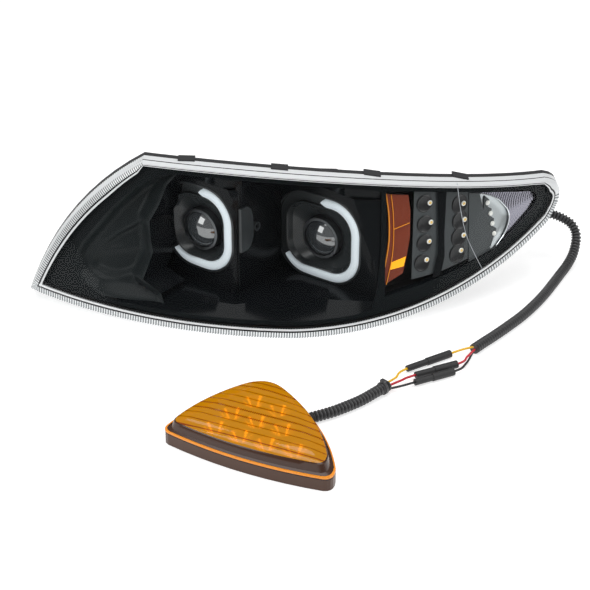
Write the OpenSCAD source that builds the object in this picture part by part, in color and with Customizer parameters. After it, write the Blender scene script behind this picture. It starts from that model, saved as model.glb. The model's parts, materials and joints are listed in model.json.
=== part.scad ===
// Wrap-around LED headlight with two projectors, its wiring harness and a separate amber side lamp.
// Millimetres, +Z up. +X runs along the lamp from its inner tip to its rounded outer nose, -Y is forward.
// The origin is the middle of the two foot holes, on the underside of the feet.

/* [Lens] */
// Forward distance from the foot holes to the foremost line of the lens
front_reach = 170; // [165:1:175]
// Radius of the lens sweep around the corner of the vehicle
lens_r = 560; // [540:5:620]
// Backward lean of the lens, degrees
lens_lean = 17; // [15:1:18]
// Wall thickness of the lens
lens_wall = 3; // [2.5:0.5:3.5]
// Depth of the lens side wall behind its front face
skirt_depth = 26; // [24:1:28]

/* [Housing] */
// Distance from the lens face to the back of the wrap-around housing
housing_depth = 63; // [60:1:66]
// Wall thickness of the housing and its buckets
housing_wall = 3; // [2.5:0.5:3]
// Inner radius of each projector bucket
bucket_r = 49; // [48.5:0.5:49]
// Radius of the foot holes
foot_hole_r = 3.3; // [3:0.1:3.6]
// Distance between the two foot holes
foot_pitch = 156; // [150:1:160]

/* [Projectors] */
// Angle of the optical axes towards the inner end, degrees
aim_turn = 36; // [35:1:37]
// Diameter of the projector lens
projector_d = 50; // [46:1:51]
// Distance of the aim pivot behind the light-guide plane
pivot_back = 28; // [26:1:30]
// Distance of the adjuster screw below the optical axis
adjuster_drop = 42; // [41.5:0.5:42]

/* [Light guides] */
// Width of the glowing C-shaped band
guide_w = 12; // [10:1:13]
// Depth of the band
guide_t = 9; // [7:1:10]

/* [Side lamp] */
// Height of the side lamp's black base
lamp_base_h = 14; // [13:1:16]
// Height of the whole side lamp
lamp_h = 34; // [32:1:38]

/* [Harness] */
// Outer diameter of the corrugated looms
loom_d = 14; // [12:1:14]
// Diameter of each wire
wire_d = 3; // [2.5:0.5:3]

/* [Hidden] */
$fn = 48;
PODS = [1, 2];

front_y = -front_reach;
lens_x = -40;          // where the lens is foremost
lens_z = 15;
tip_x = -361;          // inner tip of the outline
top_left_x = -196;
top_right_x = 346;
low_right_x = 352;
top_peak = [-203, 211];
top_r = 2037;
low_rise = 79;         // rise of the lower edge at low_right_x
low_slope = 0.045;

seal_t = 3;
bezel_back = 10;       // bezel face behind the lens face
bezel_wall = 3;
bezel_side = 12;       // clear band of lens left around the bezel
bezel_top = 4;
panel_back = 18;
board_back = 29;

// centre of each projector's lens: x, distance behind front_y, z
pod_site = [[-128, 95, 109], [31, 102, 93]];
guide_half = [[50, 52], [59, 53]];     // half width and half height of the band's centre line
guide_lift = [5.5, 2.5];
guide_corner = 38;

bucket_end = 84;      // outer face of a bucket's rear wall behind the light-guide plane
neck_r = 24;
neck_wall = 3.5;
neck_len = 10;
screw_r = 4;
knob_r = 7;
running_gap = 0.05;
pin_r = 4;

lamp_site = [-149, -238];  // the side lamp's left corner: x, and distance from front_y
lamp_turn = -25;
lamp_wall = 2.5;
lamp_hole_r = 2.1;
lamp_holes = [[24, 14], [184, 10]];
lamp_bowl_r = 14;
lamp_bowls = [[52, 26], [86, 22], [120, 20], [154, 22], [56, 60], [90, 56], [124, 54], [68, 94], [102, 88]];

// routes: x, distance behind front_y, z
route_a = [[300, 228, 80], [301, 240, 80], [307, 252, 78], [319, 261, 74], [335, 264, 69], [351, 261, 65],
    [368, 255, 61], [384, 248, 57], [397, 241, 50], [403, 232, 39], [401, 220, 27], [395, 206, 17],
    [385, 189, 10], [372, 167, 7], [358, 140, 7], [342, 110, 7], [324, 80, 7], [303, 49, 7], [280, 20, 7],
    [258, -6, 7], [240, -26, 7], [228, -40, 7]];
route_b = [[112, -131, 8.5], [97, -146, 8.5], [80, -161, 7], [62, -175, 7], [46, -186, 7], [33, -193, 7],
    [21, -199, 7]];
route_yellow = [[228, -38, 9], [214, -41, 7], [199, -47, 5], [137, -87, 5], [124, -108, 6],
    [112, -128.5, 11]];
route_red = [[228, -42, 7], [217, -60, 7.5], [205, -73, 5], [146, -102, 5], [130, -115, 6], [113, -131, 8]];
route_black = [[226, -43.5, 3.9], [214, -72, 4], [199, -91, 5], [144, -119, 5], [128, -127, 5],
    [112, -134, 5.5]];
bullet_r = 5;

BAYONETS = [0, 120, 240];
rim_back = 37;         // back of the housing's wide rim behind the lens face
mid_x = [-196, 138];   // the deeper middle of the housing
mid_inset = 14;
roof_from = [85, 206]; // the middle's sloping roof starts here: distance behind front_y, z
roof_slope = 28;
step_a = -61.5;        // the step between the pods, along pod 2's width
core_x = [-318, 340, -212];
core_inset = 18;
foot_hole_y = 0;
boss_r = 9;
boss_hole_r = 2.5;
boss_hole_len = 14;
REAR_BOSSES = [[-232, 120, 146], [262, 110, 206]];   // x, z, end face behind front_y
gland_x = 300;
gland_z = 80;
gland_y = 214;         // outer face of the gland boss behind front_y
gland_r = 8;
gland_boss_r = 13;
shroud_grow = 9;
shroud_len = 19;
shroud_floor = 16;
shroud_hole_r = 33;
housing_back = 28;      // outer face of the middle's stepped back behind the light guides
bracket_y = 70;
ear_x = 43;
ear_t = 7;
carrier_r = 38;
bowl_r = 32;
lens_ball = 34;
cap_r = 33.6;
driver_outline = [[186, 74], [236, 74], [236, 116], [186, 116]];
driver_t = 14;
VENTS = [[-285, 80], [206, 136]];
vent_t = 9;
CLIPS = [-140, -20, 100, 220];
lamp_mid = [100, 45];
lamp_cord = [133, 100];
lamp_cord_turn = 51.5;

// ---- outlines in the x, z plane ----

function top_z(x) = top_peak[1] - pow(x - top_peak[0], 2) / (2 * top_r);
function low_z(x) = x < 0 ? -low_slope * x : low_rise * pow(x / low_right_x, 2.2);
function bez(a, b, c, t) = pow(1 - t, 2) * a + 2 * t * (1 - t) * b + t * t * c;
function span(a, b, n) = [for (i = [0 : n - 1]) a + (b - a) * i / n];

function lens_outline() = concat(
    [for (x = span(tip_x, low_right_x, 26)) [x, low_z(x)]],
    [for (t = span(0, 1, 7))
        bez([low_right_x, low_z(low_right_x)], [393, 116], [top_right_x, top_z(top_right_x)], t)],
    [for (x = span(top_right_x, top_left_x, 15)) [x, top_z(x)]],
    [for (t = span(0, 1, 10)) bez([top_left_x, top_z(top_left_x)], [-304, 148], [tip_x, low_z(tip_x)], t)]);

function unit(v) = v / norm(v);
function turned(v) = [-v[1], v[0]];
// moves each corner inwards along its mitre; on_top is used where the edge faces up
function inset(pts, side, on_top) = [for (i = [0 : len(pts) - 1])
    let (n = len(pts), a = turned(unit(pts[i] - pts[(i + n - 1) % n])),
        b = turned(unit(pts[(i + 1) % n] - pts[i])),
        m = unit(a + b), upper = m[1] < -0.8, d = (upper ? on_top : side) / max(0.5, m * a))
    pts[i] + m * d];

bezel_outline = inset(lens_outline(), bezel_side, bezel_top);

module prism(pts) {
    translate([0, 400, 0])
        rotate([90, 0, 0])
            linear_extrude(800)
                polygon(pts);
}

// everything behind the lens face moved back by d
module behind(d, thinner = 0) {
    translate([lens_x, front_y + d, lens_z])
        rotate([-lens_lean, 0, 0])
            translate([0, lens_r, -400])
                cylinder(r = lens_r - thinner, h = 1000, $fn = 200);
}

// a panel that follows the lens face, between depths near and far
module sheet(pts, near, far) {
    difference() {
        intersection() {
            prism(pts);
            behind(near);
        }
        behind(far);
    }
}

module pod(i) {
    p = pod_site[i - 1];
    translate([p[0], front_y + p[1], p[2]])
        rotate([0, 0, -aim_turn])
            children();
}

// a cylinder along a pod's axis from y0 to y1
module along(r, y0, y1) {
    translate([0, y0, 0])
        rotate([-90, 0, 0])
            cylinder(r = r, h = y1 - y0);
}

module tube_along(r_out, r_in, y0, y1) {
    difference() {
        along(r_out, y0, y1);
        along(r_in, y0 - 1, y1 + 1);
    }
}

// ---- lens, seal and housing ----

module outer_lens() {
    color("white", 0.3)
        difference() {
            intersection() {
                prism(lens_outline());
                behind(0);
            }
            intersection() {
                prism(inset(lens_outline(), lens_wall, lens_wall));
                behind(0, lens_wall);
            }
            behind(skirt_depth);
        }
}

module lens_seal() {
    color("dimgray")
        difference() {
            sheet(lens_outline(), skirt_depth, skirt_depth + seal_t);
            prism(inset(lens_outline(), lens_wall, lens_wall));
        }
}

// a cylinder along Y from y0 to y1, both measured behind front_y
module rod_y(x, z, r, y0, y1) {
    translate([x, front_y + y0, z])
        rotate([-90, 0, 0])
            cylinder(r = r, h = y1 - y0);
}

// the narrower rear part of the housing, m inside the lens outline
function core_outline(m) = concat(
    [for (x = span(core_x[0] + m, core_x[1] - m, 16)) [x, low_z(x) + m]],
    [for (x = span(core_x[1] - m, core_x[2] + m, 12)) [x, top_z(x) - m]],
    [[core_x[2] + m, top_z(core_x[2] + m) - m]]);

module foot(side, web_top) {
    translate([side * foot_pitch / 2 - foot_size[0] / 2, -foot_size[1] / 2, 0]) {
        cube(foot_size);
        cube([foot_size[0], foot_web, web_top]);
    }
}

// everything under the housing's roof, lowered by d
module under_roof(d) {
    translate([-500, front_y + roof_from[0], roof_from[1] - d])
        rotate([-roof_slope, 0, 0])
            translate([0, -600, -700])
                cube([1000, 1200, 700]);
}

// everything ahead of the stepped surface at depth d behind the light guides; the step is moved w to the left
module ahead(d, w) {
    pod(1)
        translate([-500, -600, -300])
            cube([1000, 600 + d, 700]);
    pod(2)
        translate([step_a - w, -600, -300])
            cube([600, 600 + d, 700]);
}

mid_back_lean = 11.5;   // how far the middle's back leans, less on its inside
foot_size = [40, 28, 5];
foot_web = 7;          // thickness of the web that rises from a foot

function mid_outline(m) = concat(
    [for (x = span(mid_x[0] + m, mid_x[1] - m, 6)) [x, low_z(x) + mid_inset + m]],
    [for (x = span(mid_x[1] - m, mid_x[0] + m, 5)) [x, top_z(x) - 7 - m]],
    [[mid_x[0] + m, top_z(mid_x[0] + m) - 7 - m]]);

// the deeper middle of the housing, m smaller than its outside
module middle(m) {
    intersection() {
        prism(mid_outline(m));
        behind(rim_back - 3);
        under_roof(m);
        ahead(housing_back - m, mid_back_lean - 4 * m / 3);
    }
}

module housing_shell() {
    sheet(lens_outline(), skirt_depth + seal_t, rim_back);
    sheet(core_outline(core_inset), rim_back - 1, housing_depth);
    middle(0);
    for (i = PODS)
        pod(i)
            along(bucket_r + housing_wall, housing_back - 5, bucket_end);
}

module housing_hollow() {
    difference() {
        intersection() {
            prism(inset(lens_outline(), housing_wall, housing_wall));
            behind(0);
        }
        behind(rim_back - housing_wall);
    }
    sheet(core_outline(core_inset + housing_wall), 0, housing_depth - housing_wall);
    middle(housing_wall);
    for (i = PODS)
        pod(i)
            along(bucket_r, housing_back - 8, bucket_end - housing_wall);
}

// a bayonet lug: a sector of a tube, width degrees wide
module bayonet(r_in, r_out, y0, y1, width) {
    translate([0, y1, 0])
        rotate([90, 0, 0])
            rotate_extrude(angle = width)
                translate([r_in, 0])
                    square([r_out - r_in, y1 - y0]);
}

module neck() {
    along(neck_r + neck_wall, bucket_end - 1, bucket_end + neck_len);
    for (a = BAYONETS)
        rotate([0, a, 0])
            bayonet(neck_r + neck_wall - 1, neck_r + neck_wall + 2.6, bucket_end + 6, bucket_end + 9, 36);
}

module rear_housing() {
    color([0.07, 0.07, 0.08])
        difference() {
            union() {
                housing_shell();
                for (i = PODS)
                    pod(i)
                        neck();
                for (i = PODS)
                    foot(2 * i - 3, pod_site[i - 1][2] - bucket_r + 3);
                for (b = REAR_BOSSES)
                    rod_y(b[0], b[1], boss_r, b[2] - 24, b[2]);
                rod_y(gland_x, gland_z, gland_boss_r, gland_y - 30, gland_y);
            }
            housing_hollow();
            for (i = PODS)
                pod(i) {
                    along(neck_r, bucket_end - 10, bucket_end + neck_len + 1);
                    translate([0, 0, -adjuster_drop]) {
                        along(screw_r + running_gap, bucket_end - 10, bucket_end + 5);
                        along(knob_r + 0.6, bucket_end, bucket_end + 12);
                    }
                }
            for (side = [-1, 1])
                translate([side * foot_pitch / 2, foot_hole_y, -1])
                    cylinder(r = foot_hole_r, h = 7);
            for (b = REAR_BOSSES)
                rod_y(b[0], b[1], boss_hole_r, b[2] - boss_hole_len, b[2] + 1);
            rod_y(gland_x, gland_z, gland_r, gland_y - 60, gland_y + 1);
        }
}

// ---- bezel and the panels behind the lens ----

function guide_shape(i, grow) = [guide_half[i - 1][0] + grow, guide_half[i - 1][1] + grow];

// a rectangle with round corners, half sizes a, centred on the light guide of pod i, seen along the axis
module round_rect(i, grow) {
    a = guide_shape(i, grow);
    r = guide_corner + grow;
    translate([0, guide_lift[i - 1]]) {
        square([2 * a[0], 2 * (a[1] - r)], center = true);
        square([2 * (a[0] - r), 2 * a[1]], center = true);
        for (sx = [-1, 1], sz = [-1, 1])
            translate([sx * (a[0] - r), sz * (a[1] - r)])
                circle(r);
    }
}

module round_bar(i, grow, y0, y1) {
    translate([0, y1, 0])
        rotate([90, 0, 0])
            linear_extrude(y1 - y0)
                round_rect(i, grow);
}

well_outline = concat(
    [for (x = span(-188, 108, 10)) [x, low_z(x) + 36]],
    [[108, low_z(108) + 36], [112, 100], [112, top_z(112) - 14]],
    [for (x = span(90, -150, 8)) [x, top_z(x) - 14]],
    [[-172, 190], [-186, 176]]);

signal_outline = concat(
    [[118, 60], [150, 50], [200, 54], [250, 66], [296, 88], [338, 116], [334, 128]],
    [for (x = span(320, 118, 8)) [x, top_z(x) - 14]],
    [[118, top_z(118) - 14]]);

module inner_bezel() {
    color([0.05, 0.05, 0.06])
        difference() {
            union() {
                sheet(bezel_outline, bezel_back, bezel_back + bezel_wall);
                intersection() {
                    prism(inset(well_outline, -bezel_wall, -bezel_wall));
                    behind(bezel_back);
                    under_roof(5);
                    ahead(bezel_wall, bezel_wall + 0.5);
                }
                sheet(inset(signal_outline, -bezel_wall, -bezel_wall), bezel_back, bezel_back + 5);
            }
            intersection() {
                prism(well_outline);
                under_roof(5 + bezel_wall);
                ahead(0, 0.5);
            }
            prism(signal_outline);
            for (i = PODS)
                pod(i)
                    round_bar(i, shroud_grow + 0.4, -3.4, 60);
        }
}

amber_outline = [[115.6, 55], [128, 58], [144, 66], [150, 88], [152, 110], [149, 163], [117, 170],
    [116, 130], [116, 90]];
module amber_reflector() {
    color("orange")
        sheet(amber_outline, panel_back - 2.7, panel_back + 2);
}

turn_outline = concat(
    [[156, 60], [200, 62], [228, 66], [234, 90], [236, 120], [234, top_z(234) - 16]],
    [[200, top_z(200) - 16], [156, top_z(156) - 16]]);
turn_cups = [for (k = [0 : 3]) [171, 148 - 25 * k], for (k = [0 : 3]) [218, 139 - 21.5 * k]];
cup_r = 9.5;
led_r = 3;

// places children at a lamp position x, z, depth d behind the lens face, facing forward
function face_y(x, z) = front_y + (lens_r - sqrt(lens_r * lens_r - pow(x - lens_x, 2))) / cos(lens_lean)
    + (z - lens_z) * tan(lens_lean);
module on_face(p, d) {
    translate([p[0], face_y(p[0], p[1]) + d, p[1]])
        rotate([-90, 0, 0])
            children();
}

module turn_panel() {
    color([0.12, 0.12, 0.13])
        difference() {
            sheet(turn_outline, panel_back, board_back);
            for (p = turn_cups)
                on_face(p, 4)
                    cylinder(r = cup_r, h = panel_back + 1);
            for (p = turn_cups)
                on_face(p, 0)
                    cylinder(r = led_r + 0.3, h = 80);
        }
}

module turn_board() {
    color("darkgreen")
        sheet(turn_outline, board_back, board_back + 1.6);
}

module led(p, d0, d1, r) {
    on_face(p, d0)
        cylinder(r = r, h = d1 - d0);
}

// each LED stands on its board; the board follows the lens face, so the LED's foot is cut to it
module leds_on(points, r, board) {
    difference() {
        for (p = points)
            led(p, board - 7, board + 12, r);
        behind(board);
    }
}

module turn_leds() {
    color("orange")
        leds_on(turn_cups, led_r, board_back);
}

crescent = [[250, 145], [270, 138], [285, 124], [291, 108], [288, 92], [280, 79], [265, 65]];
pocket_outline = concat([for (k = [len(crescent) - 1 : -1 : 0]) crescent[k]], [[244, 140], [244, 74]]);
position_row = [for (k = [0 : 3]) [261 + 2.4 * k, 127 - 13.5 * k]];
module corner_pocket() {
    color("silver")
        difference() {
            sheet(pocket_outline, panel_back + 2, panel_back + 5);
            for (p = position_row)
                on_face(p, 0)
                    cylinder(r = led_r + 0.3, h = 80);
        }
}

module position_board() {
    color("darkgreen")
        sheet(pocket_outline, panel_back + 5, panel_back + 6.6);
}

module position_leds() {
    color("white")
        leds_on(position_row, led_r, panel_back + 5);
}

reflector_outline = concat([[300, 86], [336, 113], [334, 124], [322, 128], [290, 139], [252, 148]], crescent);
module corner_reflector() {
    color([0.8, 0.78, 0.85])
        sheet(reflector_outline, panel_back - 2, panel_back + 1.5);
}

// ---- fixed pieces around each projector ----

module guide_shroud(i) {
    color([0.06, 0.06, 0.07])
        pod(i) {
            difference() {
                round_bar(i, shroud_grow, 0, shroud_len);
                round_bar(i, -guide_w / 2 - 3, -1, shroud_floor);
                along(shroud_hole_r, -1, shroud_len + 1);
                difference() {
                    round_bar(i, guide_w / 2 + 0.2, -1, guide_t - 3);
                    round_bar(i, -guide_w / 2 - 0.2, -2, guide_t);
                }
                difference() {
                    round_bar(i, guide_w / 2, guide_t, shroud_len + 1);
                    round_bar(i, -guide_w / 2, guide_t - 1, shroud_len + 2);
                }
            }
        }
}

module light_guide(i) {
    color("white")
        pod(i)
            difference() {
                round_bar(i, guide_w / 2, -3, guide_t - 3);
                round_bar(i, -guide_w / 2, -4, guide_t);
                translate([-100, -5, -37])
                    cube([104, guide_t + 9, 200]);
            }
}

// the printed circuits that light the guides, in the back of the shrouds
module guide_boards() {
    color("darkgreen")
        for (i = PODS)
            pod(i)
                difference() {
                    round_bar(i, guide_w / 2 - 0.3, guide_t, guide_t + 1.6);
                    round_bar(i, -guide_w / 2 + 0.3, guide_t - 1, guide_t + 3);
                }
}

module pivot_bracket(i) {
    color([0.35, 0.35, 0.37])
        pod(i) {
            difference() {
                union() {
                    tube_along(bucket_r, bucket_r - 3, bracket_y, bucket_end - housing_wall);
                    for (s = [-1, 1])
                        translate([s * ear_x - ear_t / 2, pivot_back - 6, -7])
                            cube([ear_t, bucket_end - housing_wall - pivot_back + 6, 14]);
                }
                difference() {
                    along(bucket_r + 30, 0, 200);
                    along(bucket_r, -1, 201);
                }
                translate([-100, pivot_back, 0])
                    rotate([0, 90, 0])
                        cylinder(r = pin_r + running_gap, h = 200);
                translate([0, 0, -adjuster_drop])
                    along(8, 0, 200);
            }
        }
}

// ---- moving projector ----

module carrier(i) {
    color([0.5, 0.5, 0.52])
        pod(i)
            difference() {
                union() {
                    along(carrier_r, pivot_back - 4, pivot_back);
                    translate([-8, pivot_back - 4, -adjuster_drop - 4])
                        cube([16, 8, 18]);
                    for (s = [-1, 1])
                        translate([s > 0 ? carrier_r - 8 : -ear_x - 2, pivot_back, 0])
                            rotate([0, 90, 0])
                                cylinder(r = pin_r, h = ear_x + 2 - carrier_r + 8);
                }
                along(bowl_r, 0, 100);
                translate([0, 0, -adjuster_drop])
                    along(screw_r + 0.6, 0, 100);
            }
}

module projector_lens(i) {
    color("white", 0.4)
        pod(i)
            intersection() {
                along(projector_d / 2, -10, 11);
                translate([0, lens_ball - 4, 0])
                    sphere(r = lens_ball, $fn = 96);
            }
}

module lens_ring(i) {
    color("silver")
        pod(i) {
            tube_along(projector_d / 2 + 3.5, projector_d / 2, 4, 11);
            tube_along(projector_d / 2 + 3.5, projector_d / 2 - 2, 11, 14);
        }
}

module projector_bowl(i) {
    color([0.15, 0.15, 0.16])
        pod(i)
            rotate([-90, 0, 0])
                rotate_extrude()
                    polygon([[25.5, 14], [28.5, 14], [bowl_r, 20], [bowl_r, 44], [26, 50], [12, 50],
                        [12, 48], [25, 48], [bowl_r - 2, 43], [bowl_r - 2, 21]]);
}

module led_board(i) {
    color("white")
        pod(i) {
            along(22, 50, 51.6);
            translate([-3, 48.6, -3])
                cube([6, 1.4, 6]);
        }
}

module heat_sink(i) {
    color([0.6, 0.6, 0.62])
        pod(i)
            intersection() {
                along(28, 51.6, 76);
                union() {
                    along(28, 51.6, 56);
                    for (k = [-4 : 4])
                        translate([k * 6 - 1, 55, -40])
                            cube([2, 21, 80]);
                }
            }
}

module adjuster_screw(i) {
    color([0.75, 0.72, 0.5])
        pod(i)
            translate([0, 0, -adjuster_drop]) {
                along(screw_r, shroud_len + 1.5, bucket_end + 1);
                difference() {
                    along(knob_r, bucket_end + 0.3, bucket_end + 9);
                    for (a = [0 : 60 : 300])
                        rotate([0, a, 0])
                            translate([knob_r + 0.6, 0, 0])
                                along(1.6, bucket_end, bucket_end + 10);
                }
            }
}

module service_cap(i) {
    y_end = bucket_end + neck_len;
    color([0.09, 0.09, 0.1])
        pod(i) {
            tube_along(cap_r, cap_r - 2.5, bucket_end + 1.5, y_end + 1.5);
            along(cap_r, y_end + 1.5, y_end + 4);
            translate([-cap_r + 6, y_end + 3, -3])
                cube([2 * cap_r - 12, 9, 6]);
            for (a = BAYONETS)
                rotate([0, a - 8, 0])
                    bayonet(neck_r + neck_wall + 0.4, cap_r - 2, bucket_end + 2.2, bucket_end + 5.7, 20);
        }
}

module cap_seal(i) {
    y_end = bucket_end + neck_len;
    color([0.2, 0.2, 0.2])
        pod(i)
            tube_along(neck_r + neck_wall, neck_r, y_end, y_end + 1.5);
}

// ---- small fixed pieces ----

module led_driver() {
    color([0.25, 0.25, 0.27])
        sheet(driver_outline, housing_depth, housing_depth + driver_t);
}

// breather caps that stand on the housing's back
module vent_caps() {
    color([0.1, 0.1, 0.1])
        intersection() {
            for (p = VENTS)
                on_face(p, housing_depth - 10)
                    cylinder(r = 8, h = 10 + vent_t);
            behind(housing_depth);
        }
}

module cable_gland() {
    color([0.1, 0.1, 0.11])
        difference() {
            union() {
                rod_y(gland_x, gland_z, gland_r, gland_y - 22, gland_y);
                rod_y(gland_x, gland_z, gland_boss_r - 1, gland_y, gland_y + 5);
                rod_y(gland_x, gland_z, loom_d / 2 + 1.5, gland_y + 5, gland_y + 13);
            }
            rod_y(gland_x, gland_z, 4, gland_y - 30, gland_y + 20);
        }
}

// spring clips that hold the lens rim on the housing
module lens_clips() {
    color([0.1, 0.1, 0.11])
        for (x = CLIPS)
            translate([x, face_y(x, top_z(x)), top_z(x)])
                rotate([0, atan((x - top_peak[0]) / top_r), 0])
                    translate([-11, skirt_depth - 5, 0.1])
                        cube([22, 16, 2]);
}

// ---- harness ----

// a closed tube with sides facets swept along points
module sweep(route, r, sides = 8) {
    n = len(route);
    pts = [for (p = route) [p[0], p[1] + front_y, p[2]]];
    ways = [for (i = [0 : n - 1]) unit(pts[min(i + 1, n - 1)] - pts[max(i - 1, 0)])];
    rings = [for (i = [0 : n - 1])
        let (side = unit(cross(ways[i], [0, 0, 1])), up = cross(side, ways[i]))
        for (k = [0 : sides - 1])
            pts[i] + r * (side * cos((k + 0.5) * 360 / sides) + up * sin((k + 0.5) * 360 / sides))];
    walls = [for (i = [0 : n - 2], k = [0 : sides - 1])
        [i * sides + k, i * sides + (k + 1) % sides, (i + 1) * sides + (k + 1) % sides, (i + 1) * sides + k]];
    first_end = [for (k = [sides - 1 : -1 : 0]) k];
    last_end = [for (k = [0 : sides - 1]) (n - 1) * sides + k];
    polyhedron(rings, concat(walls, [first_end, last_end]));
}

module loom_a() {
    color([0.12, 0.12, 0.12])
        sweep(route_a, loom_d / 2, 10);
}

module loom_b() {
    color([0.12, 0.12, 0.12])
        sweep(route_b, loom_d / 2, 10);
}

module wire_yellow() {
    color("gold")
        sweep(route_yellow, wire_d / 2);
}

module wire_red() {
    color("red")
        sweep(route_red, wire_d / 2);
}

module wire_black() {
    color([0.1, 0.1, 0.1])
        sweep(route_black, wire_d / 2);
}

// two sleeves, one a little wider, over the straight stretch of a wire between its points 2 and 3
module bullet(route) {
    a = route[2];
    b = route[3];
    d = b - a;
    color([0.08, 0.08, 0.08])
        translate([a[0], a[1] + front_y, a[2]])
            rotate([0, 0, atan2(d[1], d[0])])
                rotate([0, 90, 0])
                    difference() {
                        union() {
                            translate([0, 0, 3])
                                cylinder(r = bullet_r, h = norm(d) / 2);
                            translate([0, 0, norm(d) / 2])
                                cylinder(r = bullet_r - 0.8, h = norm(d) / 2 - 3);
                        }
                        translate([0, 0, -1])
                            cylinder(r = wire_d / 2, h = norm(d) + 2);
                    }
}

module bullet_yellow() bullet(route_yellow);
module bullet_red() bullet(route_red);
module bullet_black() bullet(route_black);

module cable_tie() {
    a = route_b[0];
    d = route_b[1] - a;
    color([0.1, 0.1, 0.1])
        translate([a[0], a[1] + front_y, a[2]] + 6 * unit(d))
            rotate([0, 0, atan2(d[1], d[0])]) {
                rotate([0, 90, 0])
                    difference() {
                        cylinder(r = loom_d / 2 + 1.3, h = 4);
                        translate([0, 0, -1])
                            cylinder(r = loom_d / 2, h = 6);
                    }
                translate([-0.5, -3, loom_d / 2 + 0.6])
                    cube([5, 6, 4]);
            }
}

// ---- side lamp ----

module side_lamp() {
    translate([lamp_site[0], front_y + lamp_site[1], 0])
        rotate([0, 0, lamp_turn])
            children();
}

lamp_outline = concat(
    [for (t = span(0, 1, 9)) bez([7, -5], [105, -27], [203, -12], t)],
    [for (t = span(0, 1, 5)) bez([203, -12], [216, -9], [209, 10], t)],
    [for (t = span(0, 1, 7)) bez([209, 10], [170, 82], [92, 128], t)],
    [for (t = span(0, 1, 6)) bez([92, 128], [60, 146], [38, 112], t)],
    [for (t = span(0, 1, 6)) bez([38, 112], [6, 62], [-1, 8], t)],
    [for (t = span(0, 1, 3)) bez([-1, 8], [-2, -2], [7, -5], t)]);

module lamp_plate(m, z0, z1) {
    translate([0, 0, z0])
        linear_extrude(z1 - z0)
            polygon(inset(lamp_outline, m, m));
}

// the outline made smaller about the middle of the lamp
module lamp_crown(s, z0, z1) {
    translate([0, 0, z0])
        linear_extrude(z1 - z0)
            polygon([for (p = lamp_outline) lamp_mid + s * (p - lamp_mid)]);
}

module side_lamp_housing() {
    color([0.15, 0.09, 0.04])
        side_lamp()
            difference() {
                union() {
                    difference() {
                        lamp_plate(0, 0, lamp_base_h);
                        lamp_plate(lamp_wall, lamp_wall, lamp_base_h + 1);
                    }
                    for (h = lamp_holes)
                        translate([h[0], h[1], 0])
                            cylinder(r = 6, h = 9);
                }
                for (h = lamp_holes)
                    translate([h[0], h[1], -1])
                        cylinder(r = lamp_hole_r, h = 9);
                lamp_entry(6);
            }
}

// the hole for the cord through the side lamp's wall
module lamp_entry(r, from = -14, to = 14) {
    translate([lamp_cord[0], lamp_cord[1], 7])
        rotate([0, 90, lamp_cord_turn])
            translate([0, 0, from])
                cylinder(r = r, h = to - from);
}

module side_lamp_grommet() {
    color([0.1, 0.1, 0.1])
        side_lamp()
            difference() {
                union() {
                    lamp_entry(6, -5, 6);
                    lamp_entry(7, 4, 8);
                }
                lamp_entry(3, -20, 20);
            }
}

module side_lamp_gasket() {
    color([0.1, 0.1, 0.1])
        side_lamp()
            difference() {
                lamp_plate(0, lamp_base_h, lamp_base_h + 1);
                lamp_plate(lamp_wall, lamp_base_h - 1, lamp_base_h + 2);
            }
}

module side_lamp_lens() {
    z0 = lamp_base_h + 1;
    color("orange", 0.7)
        side_lamp()
            difference() {
                union() {
                    lamp_plate(0, z0, z0 + 9);
                    lamp_crown(0.9, z0 + 8, lamp_h);
                }
                lamp_plate(lamp_wall, z0 - 1, z0 + 9 - lamp_wall);
                lamp_crown(0.86, z0, lamp_h - lamp_wall);
            }
}

module side_lamp_board() {
    color("darkgreen")
        side_lamp()
            difference() {
                lamp_crown(0.84, lamp_wall, lamp_wall + 1.6);
                for (h = lamp_holes)
                    translate([h[0], h[1], -1])
                        cylinder(r = 6.2, h = 12);
            }
}

module side_lamp_leds() {
    color("orange")
        side_lamp()
            for (p = lamp_bowls)
                translate([p[0], p[1], lamp_wall + 1.6])
                    cylinder(r = 2.6, h = 3);
}

module side_lamp_bowls() {
    color("silver")
        side_lamp()
            difference() {
                for (p = lamp_bowls)
                    translate([p[0], p[1], lamp_wall + 1.6])
                        cylinder(r1 = 6, r2 = lamp_bowl_r + 1.4, h = 14);
                for (p = lamp_bowls)
                    translate([p[0], p[1], lamp_wall + 1.5])
                        cylinder(r1 = 3.6, r2 = lamp_bowl_r, h = 14.2);
            }
}

module side_lamp_screws() {
    color("silver")
        side_lamp()
            for (h = lamp_holes)
                translate([h[0], h[1], 9])
                    cylinder(r = 3, h = 3);
}

outer_lens();
lens_seal();
rear_housing();
inner_bezel();
amber_reflector();
turn_panel();
turn_board();
turn_leds();
position_board();
position_leds();
corner_pocket();
corner_reflector();
led_driver();
vent_caps();
cable_gland();
lens_clips();
guide_boards();
guide_shroud(1);  // guide_shroud_1
light_guide(1);  // light_guide_1
pivot_bracket(1);  // pivot_bracket_1
carrier(1);  // carrier_1
projector_lens(1);  // projector_lens_1
lens_ring(1);  // lens_ring_1
projector_bowl(1);  // projector_bowl_1
led_board(1);  // led_board_1
heat_sink(1);  // heat_sink_1
adjuster_screw(1);  // adjuster_screw_1
service_cap(1);  // service_cap_1
cap_seal(1);  // cap_seal_1
guide_shroud(2);  // guide_shroud_2
light_guide(2);  // light_guide_2
pivot_bracket(2);  // pivot_bracket_2
carrier(2);  // carrier_2
projector_lens(2);  // projector_lens_2
lens_ring(2);  // lens_ring_2
projector_bowl(2);  // projector_bowl_2
led_board(2);  // led_board_2
heat_sink(2);  // heat_sink_2
adjuster_screw(2);  // adjuster_screw_2
service_cap(2);  // service_cap_2
cap_seal(2);  // cap_seal_2
loom_a();
loom_b();
wire_yellow();
wire_red();
wire_black();
bullet_yellow();
bullet_red();
bullet_black();
cable_tie();
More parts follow.
